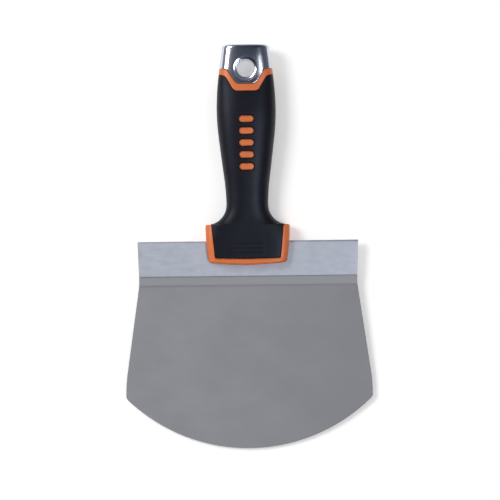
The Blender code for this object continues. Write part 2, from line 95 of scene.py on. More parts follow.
# Blade
BLADE_HALF_THICK = BLADE_HIGH.z
BLADE_EDGE_RADIUS = 106.5 * MM
BLADE_CORNER_RADIUS = 3.0 * MM
BLADE_EDGE_ROUND = 0.1 * MM
BLADE_ARC_STEPS = 48
WAIST_HALF = 66.4 * MM
WAIST_Y = -5.5 * MM
WAIST_RADIUS = 12.0 * MM
FLANK_ANGLE = 8.26 * DEG
FLANK_RADIUS = 85.0 * MM
GRIND_Y = -5.1 * MM  # the sheet is ground thinner from here to its edge
GRIND_DEPTH = 0.06 * MM
GRIND_STEP = 0.3 * MM
GRIND_FADE = 2.0 * MM  # painted shade: the ground face is coloured darker down to this distance from its upper end, just below the grind step
ROOT_ROWS = [12.0 * MM, 3.0 * MM, 0.0, -2.0 * MM, -4.0 * MM]  # heights of the grid's rows above the grind
# Grid below the grind, across and down: coarse steps, fine steps and the share of the way that is fine
BLADE_ACROSS = (30, 6, 0.04)
BLADE_DOWN = (64, 8, 0.035)

# Rail
RAIL_SHEET = 0.8 * MM
RAIL_EDGE_ROUND = 0.18 * MM
RAIL_COLUMNS, RAIL_FLAT_ROWS, RAIL_FOLD_ROWS = 40, 14, 12

# Handle outline
FERRULE_TOP_Y = 30.0 * MM
FERRULE_BOTTOM_HALF = 23.6 * MM
FERRULE_TOP_HALF = 25.7 * MM
FERRULE_END_ROUND = 1.6 * MM
FERRULE_CROWN = 1.4 * MM
FERRULE_CROWN_LENGTH = 8.0 * MM
FERRULE_SIDE_POWER = 1.6
NECK_HALF = 12.75 * MM
SHOULDER_RADIUS = 12.2 * MM
SHOULDER_Y = 43.5 * MM
HORN_HEIGHT = 1.3 * MM
CAP_END_ROUND = 2.0 * MM

# (y, value) stations: y, half width and half thickness in millimetres, and the power of the section
WIDTH_STATIONS = [
    (43.5, 12.75), (54.5, 13.3), (66.6, 14.8), (78.8, 16.3), (91.0, 17.6),
    (102.0, 18.0), (113.0, 17.5), (125.0, 16.3), (140.7, 14.4),
]
THICK_STATIONS = [
    (6.8, 7.6), (31.0, 8.0), (46.0, 9.0), (62.0, 9.9), (82.0, 10.8),
    (98.0, 11.0), (108.0, 10.3), (118.0, 9.2), (134.0, 9.0), (140.7, 8.6),
]
SQUARE_STATIONS = [
    (6.8, 5.0), (22.0, 4.6), (32.0, 3.0), (42.0, 2.5), (70.0, 2.5),
    (100.0, 2.5), (112.0, 2.6), (122.0, 2.9), (140.7, 3.0),
]

# Orange collar below the cap: (side y, flat y, half of the flat, half where the steep part ends,
# slope of the side)
COLLAR_UPPER = (125.7 * MM, 116.5 * MM, 5.9 * MM, 11.9 * MM, 0.0)
COLLAR_LOWER = (121.2 * MM, 112.2 * MM, 7.3 * MM, 12.6 * MM, 0.3)
COLLAR_BEND = 3.5 * MM
COLLAR_PASSES = 12  # steps that find where a column meets the collar's edge

# Soft panel on the ferrule, with its faint raised ribs
PANEL_TOP_HALF, PANEL_TOP_Y = 22.0 * MM, 31.5 * MM
PANEL_BOTTOM_HALF, PANEL_BOTTOM_Y = 19.9 * MM, 10.5 * MM
RIB_CENTRES = [13.6 * MM, 16.3 * MM, 19.0 * MM]
RIB_HALF_LENGTH = 11.0 * MM
RIB_WIDTH = 1.5 * MM
RIB_HEIGHT = 0.14 * MM

# Row of plain bars in the grip
BAR_COUNT = 5
BAR_PITCH = 7.2 * MM
BAR_FIRST_Y = 66.3 * MM
BAR_HALF_STRAIGHT = 2.4 * MM
BAR_RADIUS = 2.1 * MM
BAR_PROUD = 0.2 * MM
BAR_MARGIN = 0.6 * MM  # least width of the grid's faces round the window
BAR_LOOPS = (1.0, 0.85, 0.6, 0.3, 0.0)  # loops of points in a bar's top, as shares of its radius
WINDOW_RINGS = 4

SLOT_HALF = RAIL_HIGH.z + 0.3 * MM
SLOT_TOP_Y = RAIL_HIGH.y + 0.3 * MM
EYELET_Y = (EYELET_LOW.y + EYELET_HIGH.y) / 2
EYELET_BORE = 5.4 * MM
EYELET_TUBE = 6.3 * MM
EYELET_ROLL = 0.45 * MM
EYELET_SLOPE = (12 * DEG, 27 * DEG)  # tilt of the flange's face at its crest and near its rim
EYELET_LIP = 0.25 * MM
EYELET_SKIRT = 1.2 * MM  # the flange's rim reaches down to the curved cap
EYELET_STEPS, EYELET_TUBE_ROWS = 96, 4
CAP_HOLE = 6.8 * MM
CAP_HOLE_MARGIN = 0.5 * MM

SKIN_THICK = 1.3 * MM
SEAM_HALF_GAP = 0.1 * MM
SEAM_ROUND = 0.35 * MM

MERGE = 0.002 * MM  # points closer than this are one point
SHARP_ANGLE = 55 * DEG  # an edge sharper than this is rounded


# ---------------------------------------------------------------- curves


def rounded(corners, steps=8):
    """Open path through (x, y, radius) corners, each corner with a radius turned into an arc."""
    path = []
    for i, (x, y, radius) in enumerate(corners):
        here = Vector((x, y))
        if radius <= 0 or i in (0, len(corners) - 1):
            path.append(here)
            continue
        before = (Vector(corners[i - 1][:2]) - here).normalized()
        after = (Vector(corners[i + 1][:2]) - here).normalized()
        half = before.angle(after) / 2
        centre = here + (before + after).normalized() * (radius / math.sin(half))
        start = here + before * (radius / math.tan(half)) - centre
        end = here + after * (radius / math.tan(half)) - centre
        turn = start.angle_signed(end)
        for k in range(steps + 1):
            path.append(centre + Matrix.Rotation(-turn * k / steps, 2) @ start)
    return path


def along(stations, y):
    """Smooth curve through (y, value) stations in millimetres. The given y and the result are in metres."""
    at = min(max(y / MM, stations[0][0]), stations[-1][0])
    slopes = [0.0]
    for before, here, after in zip(stations, stations[1:], stations[2:]):
        slopes.append((after[1] - before[1]) / (after[0] - before[0]))
    last, previous = stations[-1], stations[-2]
    slopes.append((last[1] - previous[1]) / (last[0] - previous[0]))
    for i in range(len(stations) - 1):
        (y0, v0), (y1, v1) = stations[i], stations[i + 1]
        if at <= y1:
            break
    span = y1 - y0
    t = (at - y0) / span
    start = v0 * (1 + 2 * t) * (1 - t) ** 2 + slopes[i] * span * t * (1 - t) ** 2
    end = v1 * t * t * (3 - 2 * t) - slopes[i + 1] * span * t * t * (1 - t)
    return (start + end) * MM


def smooth(t):
    t = min(max(t, 0.0), 1.0)
    return t * t * (3 - 2 * t)


def evenly(low, high, count):
    """count values after low, evenly spaced up to and including high."""
    return [low + (high - low) * (k + 1) / count for k in range(count)]


# ---------------------------------------------------------------- handle form


def half_width(y):
    """Half of the handle's width: ferrule side, round horn, shoulder arc, then the barrel."""
    horn_foot = NECK_HALF + SHOULDER_RADIUS
    if y <= FERRULE_TOP_Y:
        share = min(1.0, (FERRULE_TOP_Y - y) / (FERRULE_TOP_Y - CORE_LOW.y))
        return FERRULE_TOP_HALF - (FERRULE_TOP_HALF - FERRULE_BOTTOM_HALF) * share ** FERRULE_SIDE_POWER
    if y <= FERRULE_TOP_Y + HORN_HEIGHT:
        rise = (y - FERRULE_TOP_Y) / HORN_HEIGHT
        return horn_foot + (FERRULE_TOP_HALF - horn_foot) * math.sqrt(max(0.0, 1 - rise * rise))
    if y <= SHOULDER_Y:
        drop = min(1.0, (SHOULDER_Y - y) / SHOULDER_RADIUS)
        return horn_foot - SHOULDER_RADIUS * math.sqrt(1 - drop * drop)
    return along(WIDTH_STATIONS, y)


def square_power(y):
    return along(SQUARE_STATIONS, y) / MM


def face_height(x, y, pull=0.0):
    """z of the handle's skin at (x, y), on the section |x/w|^n + |z/t|^n = 1."""
    width, thick, power = half_width(y) - pull, along(THICK_STATIONS, y) - pull, square_power(y)
    return thick * max(0.0, 1 - (x / width) ** power) ** (1 / power)


def face_angle(x, y, pull=0.0):
    """Direction of the skin's point at x, where the section is scaled to a square."""
    return math.atan2(
        face_height(x, y, pull) / (along(THICK_STATIONS, y) - pull), x / (half_width(y) - pull)
    )


def section_point(angle, y, pull=0.0):
    """(x, z) of the skin in that direction."""
    power = square_power(y)
    c, s = math.cos(angle), math.sin(angle)
    reach = (abs(c) ** power + abs(s) ** power) ** (-1 / power)
    return (half_width(y) - pull) * reach * c, (along(THICK_STATIONS, y) - pull) * reach * s


def even_angles(start, end, count, y):
    """count + 1 directions whose points at y are evenly spaced along the skin."""
    fine = 400
    angles = [start + (end - start) * k / fine for k in range(fine + 1)]
    points = [Vector(section_point(a, y)) for a in angles]
    lengths = [0.0]
    for a, b in zip(points, points[1:]):
        lengths.append(lengths[-1] + (b - a).length)
    found = []
    for k in range(count + 1):
        at = lengths[-1] * k / count
        i = next(n for n, length in enumerate(lengths) if length >= at - 1e-12)
        found.append(angles[i])
    return found


# Counts of the skin's columns, from the middle of the front to the side, and of its rows, from foot to cap
FRONT_COLUMNS, SIDE_COLUMNS, SLOT_COLUMNS = 30, 9, 3
FOOT_ROWS, SLOT_ROWS, PANEL_ROWS, HORN_ROWS, LEDGE_ROWS = 5, 40, 14, 5, 2
SHOULDER_ROWS, BARREL_ROWS, COLLAR_ROWS, CAP_ROWS, END_ROWS = 16, 86, 6, 26, 6
MIDDLE_Y = 70.0 * MM
PANEL_ANGLE = face_angle(PANEL_TOP_HALF, PANEL_TOP_Y)
SLOT_ANGLE = math.asin(SLOT_HALF / along(THICK_STATIONS, SLOT_TOP_Y))
COLUMNS = (
    even_angles(90 * DEG, PANEL_ANGLE, FRONT_COLUMNS, MIDDLE_Y)[:-1]
    + even_angles(PANEL_ANGLE, SLOT_ANGLE, SIDE_COLUMNS, MIDDLE_Y)[:-1]
    + even_angles(SLOT_ANGLE, 0.0, SLOT_COLUMNS, MIDDLE_Y)
)
PANEL_COLUMN, SLOT_COLUMN = FRONT_COLUMNS, FRONT_COLUMNS + SIDE_COLUMNS
LAST_COLUMN = len(COLUMNS) - 1
CORNER_COLUMN = min(range(len(COLUMNS)), key=lambda k: abs(COLUMNS[k] - 45 * DEG))


def rib(x, y):
    """Height of the faint ribs on the panel."""
    ends = smooth((RIB_HALF_LENGTH - x) / RIB_WIDTH)
    rise = 0.0
    for centre in RIB_CENTRES:
        rise = max(rise, math.cos(min(1.0, abs(y - centre) / RIB_WIDTH) * math.pi / 2) ** 2)
    return RIB_HEIGHT * ends * rise


def skin_point(column, y, pull=0.0):
    """One point of the grid. Below the shoulders, the columns follow the panel's slanted edge."""
    angle = COLUMNS[column]
    raised = 0.0
    if y < PANEL_TOP_Y:
        share = (PANEL_TOP_Y - y) / (PANEL_TOP_Y - PANEL_BOTTOM_Y)
        edge = PANEL_TOP_HALF + (PANEL_BOTTOM_HALF - PANEL_TOP_HALF) * share - pull
        if column <= PANEL_COLUMN:
            x = edge * section_point(angle, PANEL_TOP_Y)[0] / PANEL_TOP_HALF
            raised = rib(x, y)
            angle = face_angle(x, y, pull)
        elif column < SLOT_COLUMN:
            share = (angle - SLOT_ANGLE) / (PANEL_ANGLE - SLOT_ANGLE)
            angle = SLOT_ANGLE + (face_angle(edge, y, pull) - SLOT_ANGLE) * share
    x, z = section_point(angle, y, pull)
    if column == 0:
        x = 0.0
    if column == LAST_COLUMN:
        z = 0.0
    fade = max(0.0, 1 - (y - CORE_LOW.y) / FERRULE_CROWN_LENGTH)
    lift = FERRULE_CROWN * fade * (x / half_width(y)) ** 2
    return Vector((x, y + lift, z + raised))


def collar_height(column, edge):
    """y at which a column meets one edge of the collar."""
    side_y, flat_y, flat_half, steep_half, side_slope = edge
    path = rounded([
        (0, flat_y, 0), (flat_half, flat_y, COLLAR_BEND), (steep_half, side_y, COLLAR_BEND),
        (FERRULE_TOP_HALF, side_y + side_slope * (FERRULE_TOP_HALF - steep_half), 0),
    ])
    y = flat_y
    for _ in range(COLLAR_PASSES):
        x = section_point(COLUMNS[column], y)[0]
        a, b = next((a, b) for a, b in zip(path, path[1:]) if x <= b.x)
        y = a.y + (b.y - a.y) * (x - a.x) / (b.x - a.x)
    return y


# ---------------------------------------------------------------- handle skin


def handle_rows():
    """Rows of the grid from the ferrule's foot to the cap's end, each one as (label, points)."""
    foot, top = CORE_LOW.y, CAP_HIGH.y
    rows = []

    def add(label, heights, pulls=None):
        """heights holds one list for each column, or one list for all of them."""
        shared = not isinstance(heights[0], list)
        for i in range(len(heights if shared else heights[0])):
            pull = pulls[i] if pulls else 0.0
            rows.append((label, [
                skin_point(k, heights[i] if shared else heights[k][i], pull)
                for k in range(len(COLUMNS))
            ]))

    quarter = [0.0] + evenly(0.0, 90 * DEG, END_ROWS)
    add("foot", [foot + FERRULE_END_ROUND * (1 - math.cos(a)) for a in quarter],
        [FERRULE_END_ROUND * (1 - math.sin(a)) for a in quarter])
    add("foot", evenly(foot + FERRULE_END_ROUND, PANEL_BOTTOM_Y, FOOT_ROWS))
    add("slot", evenly(PANEL_BOTTOM_Y, SLOT_TOP_Y, SLOT_ROWS))
    add("panel", evenly(SLOT_TOP_Y, FERRULE_TOP_Y, PANEL_ROWS))
    add("panel", [FERRULE_TOP_Y + HORN_HEIGHT * math.sin(a) for a in evenly(0.0, 90 * DEG, HORN_ROWS)])
    ledge = math.asin((SHOULDER_Y - PANEL_TOP_Y) / SHOULDER_RADIUS)
    shoulder = (("panel", 90 * DEG, ledge, LEDGE_ROWS), ("grip", ledge, 0.0, SHOULDER_ROWS))
    for label, start, end, count in shoulder:
        add(label, [SHOULDER_Y - SHOULDER_RADIUS * math.sin(a) for a in evenly(start, end, count)])
    columns = range(len(COLUMNS))
    lower = [collar_height(k, COLLAR_LOWER) for k in columns]
    upper = [collar_height(k, COLLAR_UPPER) for k in columns]
    add("grip", [evenly(SHOULDER_Y, lower[k], BARREL_ROWS) for k in columns])
    add("collar", [evenly(lower[k], upper[k], COLLAR_ROWS) for k in columns])
    add("cap", [evenly(upper[k], top - CAP_END_ROUND, CAP_ROWS) for k in columns])
    add("cap", [top - CAP_END_ROUND * (1 - math.sin(a)) for a in quarter[1:]],
        [CAP_END_ROUND * (1 - math.cos(a)) for a in quarter[1:]])
    return rows


def piece_of(label, column):
    """Which piece the face between a column and the next belongs to, or None in the rail's slot."""
    if label in ("foot", "slot") and column >= SLOT_COLUMN:
        return None
    if label in ("slot", "panel"):
        return "grip" if column < PANEL_COLUMN else "core"
    return {"foot": "core", "grip": "grip", "collar": "core", "cap": "cap"}[label]


def coons(top, bottom, left, right, across=None, down=None):
    """Rows of points that fill four edges in, from top to bottom. across and down are the edges' shares."""
    across = across or [i / (len(top) - 1) for i in range(len(top))]
    down = down or [j / (len(left) - 1) for j in range(len(left))]
    rows = []
    for j, v in enumerate(down):
        row = []
        for i, u in enumerate(across):
            corners = (1 - v) * ((1 - u) * top[0] + u * top[-1]) + v * ((1 - u) * bottom[0] + u * bottom[-1])
            row.append((1 - v) * top[i] + v * bottom[i] + (1 - u) * left[j] + u * right[j] - corners)
        rows.append(row)
    return rows


def end_patch(ring, corner, last):
    """Rows that close a quarter of the handle's end, from its edge ring in to x = 0 and z of ring[last]."""
    top, side = ring[:corner + 1], ring[corner:last + 1]
    inner = side[-1].z
    bottom = [Vector((p.x * side[-1].x / top[-1].x, p.y, inner)) for p in top]
    rise = (top[0].z - inner) / (side[0].z - inner)
    left = [Vector((0, top[0].y, inner + (p.z - inner) * rise)) for p in side]
    return coons(top, bottom, left, side)


def fill_grid(faces, rows, piece=None):
    """Adds a (piece, corners) face for each cell between neighbouring rows of points."""
    for lower, upper in zip(rows, rows[1:]):
        for k in range(len(lower) - 1):
            faces.append((piece, [lower[k], lower[k + 1], upper[k + 1], upper[k]]))


def open_window(faces, rows, removed, centre_y, straight, radius, margin):
    """Cuts a slot-shaped window at x = 0 into the grid, and returns its edge as (base, outward) pairs."""
    reach = radius + margin
    low = max(i for i, (_, row) in enumerate(rows) if row[0].y < centre_y - reach)
    high = min(i for i, (_, row) in enumerate(rows) if row[0].y > centre_y + reach)
    middle = rows[(low + high) // 2][1]
    right = min(k for k, p in enumerate(middle) if p.x > straight + reach)
    removed.update((i, k) for i in range(low, high) for k in range(right))
    below, above = rows[low][1][:right + 1], rows[high][1][:right + 1]
    chain = below + [rows[i][1][right] for i in range(low + 1, high)] + above[::-1]
    inner = [(a.x + b.x) / 2 for a, b in zip(below, above)]
    inner += [straight] * (high - low - 1) + inner[::-1]
    edge = []
    for p, x in zip(chain, inner):
        base = Vector((min(x, straight), centre_y))
        edge.append((base, (p.xy - base).normalized()))
    loops = [chain]
    for share in evenly(0.0, 1.0, WINDOW_RINGS):
        loop = []
        for p, (base, outward) in zip(chain, edge):
            at = p.xy.lerp(base + outward * radius, share)
            loop.append(Vector((at.x, at.y, face_height(at.x, at.y))))
        loops.append(loop)
    fill_grid(faces, loops, rows[low][0])
    return edge


def bar_faces(faces, edge):
    """The top of one bar, which fills its window and stands a little proud of the grip."""
    loops = []
    for share in BAR_LOOPS:
        loop = []
        for base, outward in edge:
            at = base + outward * BAR_RADIUS * share
            loop.append(Vector((at.x, at.y, face_height(at.x, at.y) + BAR_PROUD)))
        loops.append(loop)
    fill_grid(faces, loops, "core")


def handle_faces():
    """(piece, corners) of every face in the quarter of the skin with x and z above 0."""
    rows = handle_rows()
    faces, removed = [], set()
    for i in range(BAR_COUNT):
        bar_faces(faces, open_window(
            faces, rows, removed, BAR_FIRST_Y + i * BAR_PITCH, BAR_HALF_STRAIGHT, BAR_RADIUS, BAR_MARGIN
        ))
    open_window(faces, rows, removed, EYELET_Y, 0.0, CAP_HOLE, CAP_HOLE_MARGIN)
    for i, ((_, lower), (label, upper)) in enumerate(zip(rows, rows[1:])):
        for k in range(LAST_COLUMN):
            piece = piece_of(label, k)
            if piece and (i, k) not in removed:
                faces.append((piece, [lower[k], lower[k + 1], upper[k + 1], upper[k]]))
    foot, end = rows[0][1], rows[-1][1]
    fill_grid(faces, end_patch(foot, PANEL_COLUMN, SLOT_COLUMN), "core")
    fill_grid(faces, end_patch(end, CORNER_COLUMN, LAST_COLUMN), "cap")
    return faces


# ---------------------------------------------------------------- objects


def mesh_object(name, bm):
    """Smooth shaded object from a bmesh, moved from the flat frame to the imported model's frame."""
    mesh = bpy.data.meshes.new(name)
    bm.to_mesh(mesh)
    bm.free()
    mesh.transform(KNIFE)
    mesh.shade_smooth()
    obj = bpy.data.objects.new(name, mesh)
    bpy.context.scene.collection.objects.link(obj)
    return obj


def mirror_across(bm, axis):
    """Adds the mirror image across the plane where one axis is 0, and joins the two halves."""
    copied = bmesh.ops.duplicate(bm, geom=bm.verts[:] + bm.edges[:] + bm.faces[:])["geom"]
    for v in copied:
        if isinstance(v, bmesh.types.BMVert):
            v.co[axis] *= -1
    bmesh.ops.reverse_faces(bm, faces=[f for f in copied if isinstance(f, bmesh.types.BMFace)])
    bmesh.ops.remove_doubles(bm, verts=bm.verts, dist=MERGE)


def solid_from(faces, mirrors=(0, 2)):
    """bmesh of (piece, corners) faces and their mirror images across these axes, facing outwards."""
    bm = bmesh.new()
    for _, corners in faces:
        bm.faces.new([bm.verts.new(p) for p in corners])
    bmesh.ops.remove_doubles(bm, verts=bm.verts, dist=MERGE)
    bmesh.ops.dissolve_degenerate(bm, dist=MERGE, edges=bm.edges)
    for axis in mirrors:
        mirror_across(bm, axis)
    bmesh.ops.recalc_face_normals(bm, faces=bm.faces)
    return bm


def draw_in_border(bm, distance):
    """Moves the open border inwards along the skin, to leave a seam."""
    moves = {}
    for v in bm.verts:
        if v.is_boundary:
            inward = sum(((f.calc_center_median() - v.co).normalized() for f in v.link_faces), Vector())
            moves[v] = inward.normalized() * distance
    for v, move in moves.items():
        v.co += move


def round_edges(obj, width, segments):
    """Rounds the edges between faces that meet at more than SHARP_ANGLE."""
    bevel = obj.modifiers.new("edge_round", "BEVEL")
    bevel.width = width
    bevel.segments = segments
    bevel.limit_method = "ANGLE"
    bevel.angle_limit = SHARP_ANGLE
    bevel.use_clamp_overlap = False


def thicken(obj, thickness):
    """Turns a skin into a closed shell, inwards."""
    solid = obj.modifiers.new("thickness", "SOLIDIFY")
    solid.thickness = thickness
    solid.offset = -1


def set_back_bars_flush(bm):
    """Lowers the bars on the back, which the knife lies on, level with the grip."""
    first, last = BAR_FIRST_Y - BAR_PITCH / 2, BAR_FIRST_Y + (BAR_COUNT - 0.5) * BAR_PITCH
    for v in bm.verts:
        if v.co.z < 0 and first < v.co.y < last:
            v.co.z += BAR_PROUD


def handle_skins():
    """The grip, the core and the cap, each as one shell with rounded seams."""
    skins = {}
    faces = handle_faces()
    for piece, name in (("grip", "soft_grip_skin"), ("core", "core_skin"), ("cap", "end_cap_shell")):
        bm = solid_from([face for face in faces if face[0] == piece])
        draw_in_border(bm, SEAM_HALF_GAP)
        if piece == "core":
            set_back_bars_flush(bm)
        skins[piece] = mesh_object(name, bm)
        thicken(skins[piece], SKIN_THICK)
        round_edges(skins[piece], SEAM_ROUND, 3)
    return skins


def spread(path, shares):
    """Points at these shares of a path's length."""
    lengths = [0.0]
    for a, b in zip(path, path[1:]):
        lengths.append(lengths[-1] + (b - a).length)
    points, i = [], 0
    for share in shares:
        at = share * lengths[-1]
        while i < len(path) - 2 and lengths[i + 1] < at:
            i += 1
        points.append(path[i].lerp(path[i + 1], (at - lengths[i]) / (lengths[i + 1] - lengths[i])))
    return points


def graded(coarse, fine, fine_share):
    """Shares from 0 to 1: coarse steps, then fine ones over the last fine_share."""
    return [(1 - fine_share) * k / coarse for k in range(coarse)] + [
        1 - fine_share * (1 - k / fine) for k in range(fine + 1)
    ]


def cut_at(path, y):
    """The part of a downward path below y, from a new point at y."""
    i = next(k for k, p in enumerate(path) if p.y < y)
    a, b = path[i - 1], path[i]
    return [a.lerp(b, (a.y - y) / (a.y - b.y))] + path[i:]


def blade_rows():
    """Half of the sheet's face as rows of (x, y) points, from inside the rail to the round edge."""
    arc_y = BLADE_LOW.y + BLADE_EDGE_RADIUS
    flank_y = WAIST_Y - (BLADE_HIGH.x - WAIST_HALF) / math.tan(FLANK_ANGLE)
    corner_angle = math.asin(BLADE_HIGH.x / BLADE_EDGE_RADIUS)
    top_y = RAIL_HIGH.y - RAIL_HIGH.z
    corner = Vector((BLADE_HIGH.x, arc_y - BLADE_EDGE_RADIUS * math.cos(corner_angle)))
    path = [(WAIST_HALF, top_y, 0), (WAIST_HALF, WAIST_Y, WAIST_RADIUS),
            (BLADE_HIGH.x, flank_y, FLANK_RADIUS), (*corner, BLADE_CORNER_RADIUS)]
    for angle in evenly(corner_angle, 0.0, BLADE_ARC_STEPS):
        path.append((BLADE_EDGE_RADIUS * math.sin(angle), arc_y - BLADE_EDGE_RADIUS * math.cos(angle), 0))
    path = rounded(path, steps=12)
    split = min(range(len(path)), key=lambda k: (path[k] - corner).length)
    across = graded(*BLADE_ACROSS)
    rows = [[Vector((WAIST_HALF * share, top_y)) for share in across]]
    for y in (*ROOT_ROWS, GRIND_Y):
        x = cut_at(path, y)[0].x
        rows.append([Vector((x * share, y)) for share in across])
    side = cut_at(path[:split + 1], GRIND_Y - GRIND_STEP)
    down = graded(*BLADE_DOWN)
    top = [Vector((side[0].x * share, side[0].y)) for share in across]
    bottom = list(reversed(spread(path[split:], [1 - share for share in reversed(across)])))
    left = [Vector((0, top[0].y + (bottom[0].y - top[0].y) * share)) for share in down]
    return rows + coons(top, bottom, left, spread(side, down), across, down)


def blade_sheet():
    """The whole sheet as one mesh, with its face ground a little below the waist."""
    rows = [
        [Vector((p.x, p.y, BLADE_HALF_THICK - (GRIND_DEPTH if p.y < GRIND_Y - GRIND_STEP / 2 else 0)))
         for p in row]
        for row in blade_rows()
    ]
    faces = []
    fill_grid(faces, rows)
    for edge in (rows[0], [row[-1] for row in rows], rows[-1]):
        fill_grid(faces, [edge, [Vector((p.x, p.y, 0)) for p in edge]])
    bm = solid_from(faces)
    flat = bm.loops.layers.uv.new("flat")
    for face in bm.faces:
        for loop in face.loops:
            loop[flat].uv = loop.vert.co.xy
    obj = mesh_object("blade_sheet", bm)
    round_edges(obj, BLADE_EDGE_ROUND, 2)
    return obj


def rail_strip():
    """The folded strip over the blade's top: flat faces, a round fold and slightly broken edges."""
    fold_y = RAIL_HIGH.y - RAIL_HIGH.z
    flats = [fold_y * k / RAIL_FLAT_ROWS for k in range(RAIL_FLAT_ROWS)]
    turns = [0.0] + evenly(0.0, 90 * DEG, RAIL_FOLD_ROWS)

    def columns(half_thick):
        """Grid of one side of the sheet, at this distance from the fold's middle plane."""
        profile = [(y, half_thick) for y in flats]
        profile += [(fold_y + half_thick * math.sin(a), half_thick * math.cos(a)) for a in turns]
        return [
            [Vector((share * (WAIST_HALF + (RAIL_HIGH.x - WAIST_HALF) * y / RAIL_HIGH.y), y, z))
             for y, z in profile]
            for share in [0.0] + evenly(0.0, 1.0, RAIL_COLUMNS)
        ]

    outside, inside = columns(RAIL_HIGH.z), columns(RAIL_HIGH.z - RAIL_SHEET)
    faces = []
    fill_grid(faces, outside)
    fill_grid(faces, inside)
    fill_grid(faces, [outside[-1], inside[-1]])
    fill_grid(faces, [[column[0] for column in side] for side in (outside, inside)])
    obj = mesh_object("rail_strip", solid_from(faces))
    round_edges(obj, RAIL_EDGE_ROUND, 3)
    return obj


def turned(r, z, radius, start, end, steps=12):
    """Points of an arc about (r, z); its angles are the tilts of its outward normal from +z towards +r."""
    tilts = [start + (end - start) * k / steps for k in range(steps + 1)]
    return [(r + radius * math.sin(a), z + radius * math.cos(a)) for a in tilts]


def eyelet_ring():
    """Tube through the cap, its two ends rolled over into round flanges, turned about the hole's axis."""
    flange, top = EYELET_HIGH.x, EYELET_HIGH.z
    seat = top - EYELET_ROLL
    near, steep = EYELET_SLOPE
    levels = [seat * k / EYELET_TUBE_ROWS for k in range(EYELET_TUBE_ROWS)]
    profile = [(EYELET_BORE, z) for z in levels]
    profile += turned(EYELET_BORE + EYELET_ROLL, seat, EYELET_ROLL, -90 * DEG, near)
    slope_end = flange - EYELET_LIP * (1 - math.sin(steep))
    radius = (slope_end - profile[-1][0]) / (math.sin(steep) - math.sin(near))
    centre = profile[-1][0] - radius * math.sin(near), profile[-1][1] - radius * math.cos(near)
    profile += turned(*centre, radius, near, steep)[1:]
    lip_seat = profile[-1][1] - EYELET_LIP * math.cos(steep)
    profile += turned(flange - EYELET_LIP, lip_seat, EYELET_LIP, steep, 90 * DEG)[1:]
    profile += [(flange, seat - EYELET_SKIRT), (EYELET_TUBE, seat - EYELET_SKIRT)]
    profile += [(EYELET_TUBE, z) for z in reversed(levels)]
    rings = []
    for angle in [0.0] + evenly(0.0, 360 * DEG, EYELET_STEPS):
        rings.append([Vector((r * math.cos(angle), EYELET_Y + r * math.sin(angle), z)) for r, z in profile])
    faces = []
    fill_grid(faces, rings)
    return mesh_object("eyelet_ring", solid_from(faces, mirrors=[2]))


# ---------------------------------------------------------------- materials


class Finish:
    """A procedural material: a Principled surface whose colour, roughness and bump come from noise."""

    def __init__(self, name, **constants):
        self.material = bpy.data.materials.new(name)
        self.material.use_nodes = True
        self.tree = self.material.node_tree
        self.tree.nodes.clear()
        self.surface = self.add("ShaderNodeBsdfPrincipled")
        output = self.add("ShaderNodeOutputMaterial")
        self.tree.links.new(self.surface.outputs["BSDF"], output.inputs["Surface"])
        for socket, value in constants.items():
            self.surface.inputs[socket.replace("_", " ")].default_value = value
        self.place = self.add("ShaderNodeTexCoord").outputs["Object"]
        self.normal = None

    def add(self, kind, inputs=None, **settings):
        node = self.tree.nodes.new(kind)
        for key, value in settings.items():
            setattr(node, key, value)
        for key, value in (inputs or {}).items():
            if isinstance(value, bpy.types.NodeSocket):
                self.tree.links.new(value, node.inputs[key])
            else:
                node.inputs[key].default_value = value
        return node

    def noise(self, size, stretch=(1, 1, 1), detail=3.0, rough=0.55):
        """Noise from 0 to 1 with features of this size, longer along an axis by its stretch."""
        scale = [1 / s for s in stretch]
        place = self.add("ShaderNodeMapping", {"Vector": self.place, "Scale": scale}).outputs["Vector"]
        inputs = {"Vector": place, "Scale": 1 / size, "Detail": detail, "Roughness": rough}
        return self.add("ShaderNodeTexNoise", inputs).outputs["Fac"]

    def ramp(self, value, low, high, to_low=0.0, to_high=1.0):
        inputs = {"Value": value, "From Min": low, "From Max": high, "To Min": to_low, "To Max": to_high}
        return self.add("ShaderNodeMapRange", inputs).outputs["Result"]

    def mixed(self, share, dark, light):
        mix = self.add("ShaderNodeMix", data_type="RGBA")
        self.tree.links.new(share, mix.inputs["Factor"])
        for socket, colour in zip([s for s in mix.inputs if s.type == "RGBA"], (dark, light)):
            if isinstance(colour, bpy.types.NodeSocket):
                self.tree.links.new(colour, socket)
            else:
                socket.default_value = (*colour, 1)
        return next(s for s in mix.outputs if s.type == "RGBA")

    def colour(self, share, dark, light):
        self.tree.links.new(self.mixed(share, dark, light), self.surface.inputs["Base Color"])

    def roughness(self, value, low, high):
        self.tree.links.new(self.ramp(value, 0.25, 0.75, low, high), self.surface.inputs["Roughness"])

    def bump(self, height, depth, strength=1.0):
        inputs = {"Height": height, "Distance": depth, "Strength": strength}
        if self.normal:
            inputs["Normal"] = self.normal
        self.normal = self.add("ShaderNodeBump", inputs).outputs["Normal"]
        self.tree.links.new(self.normal, self.surface.inputs["Normal"])


def rubber_finish():
    """Moulded rubber: near black, finely pebbled, satin where it is rubbed."""
    finish = Finish("black_rubber", Specular_IOR_Level=0.26, Specular_Tint=(0.74, 0.80, 1.0, 1.0))
    cloud = finish.noise(9 * MM)
    finish.colour(finish.ramp(cloud, 0.3, 0.7), (0.0048, 0.0044, 0.0070), (0.0074, 0.0068, 0.0102))
    finish.roughness(finish.noise(3 * MM), 0.42, 0.48)
    finish.bump(finish.noise(0.35 * MM, detail=2.0), 0.012 * MM)
    finish.bump(cloud, 0.05 * MM, 0.5)
    return finish.material


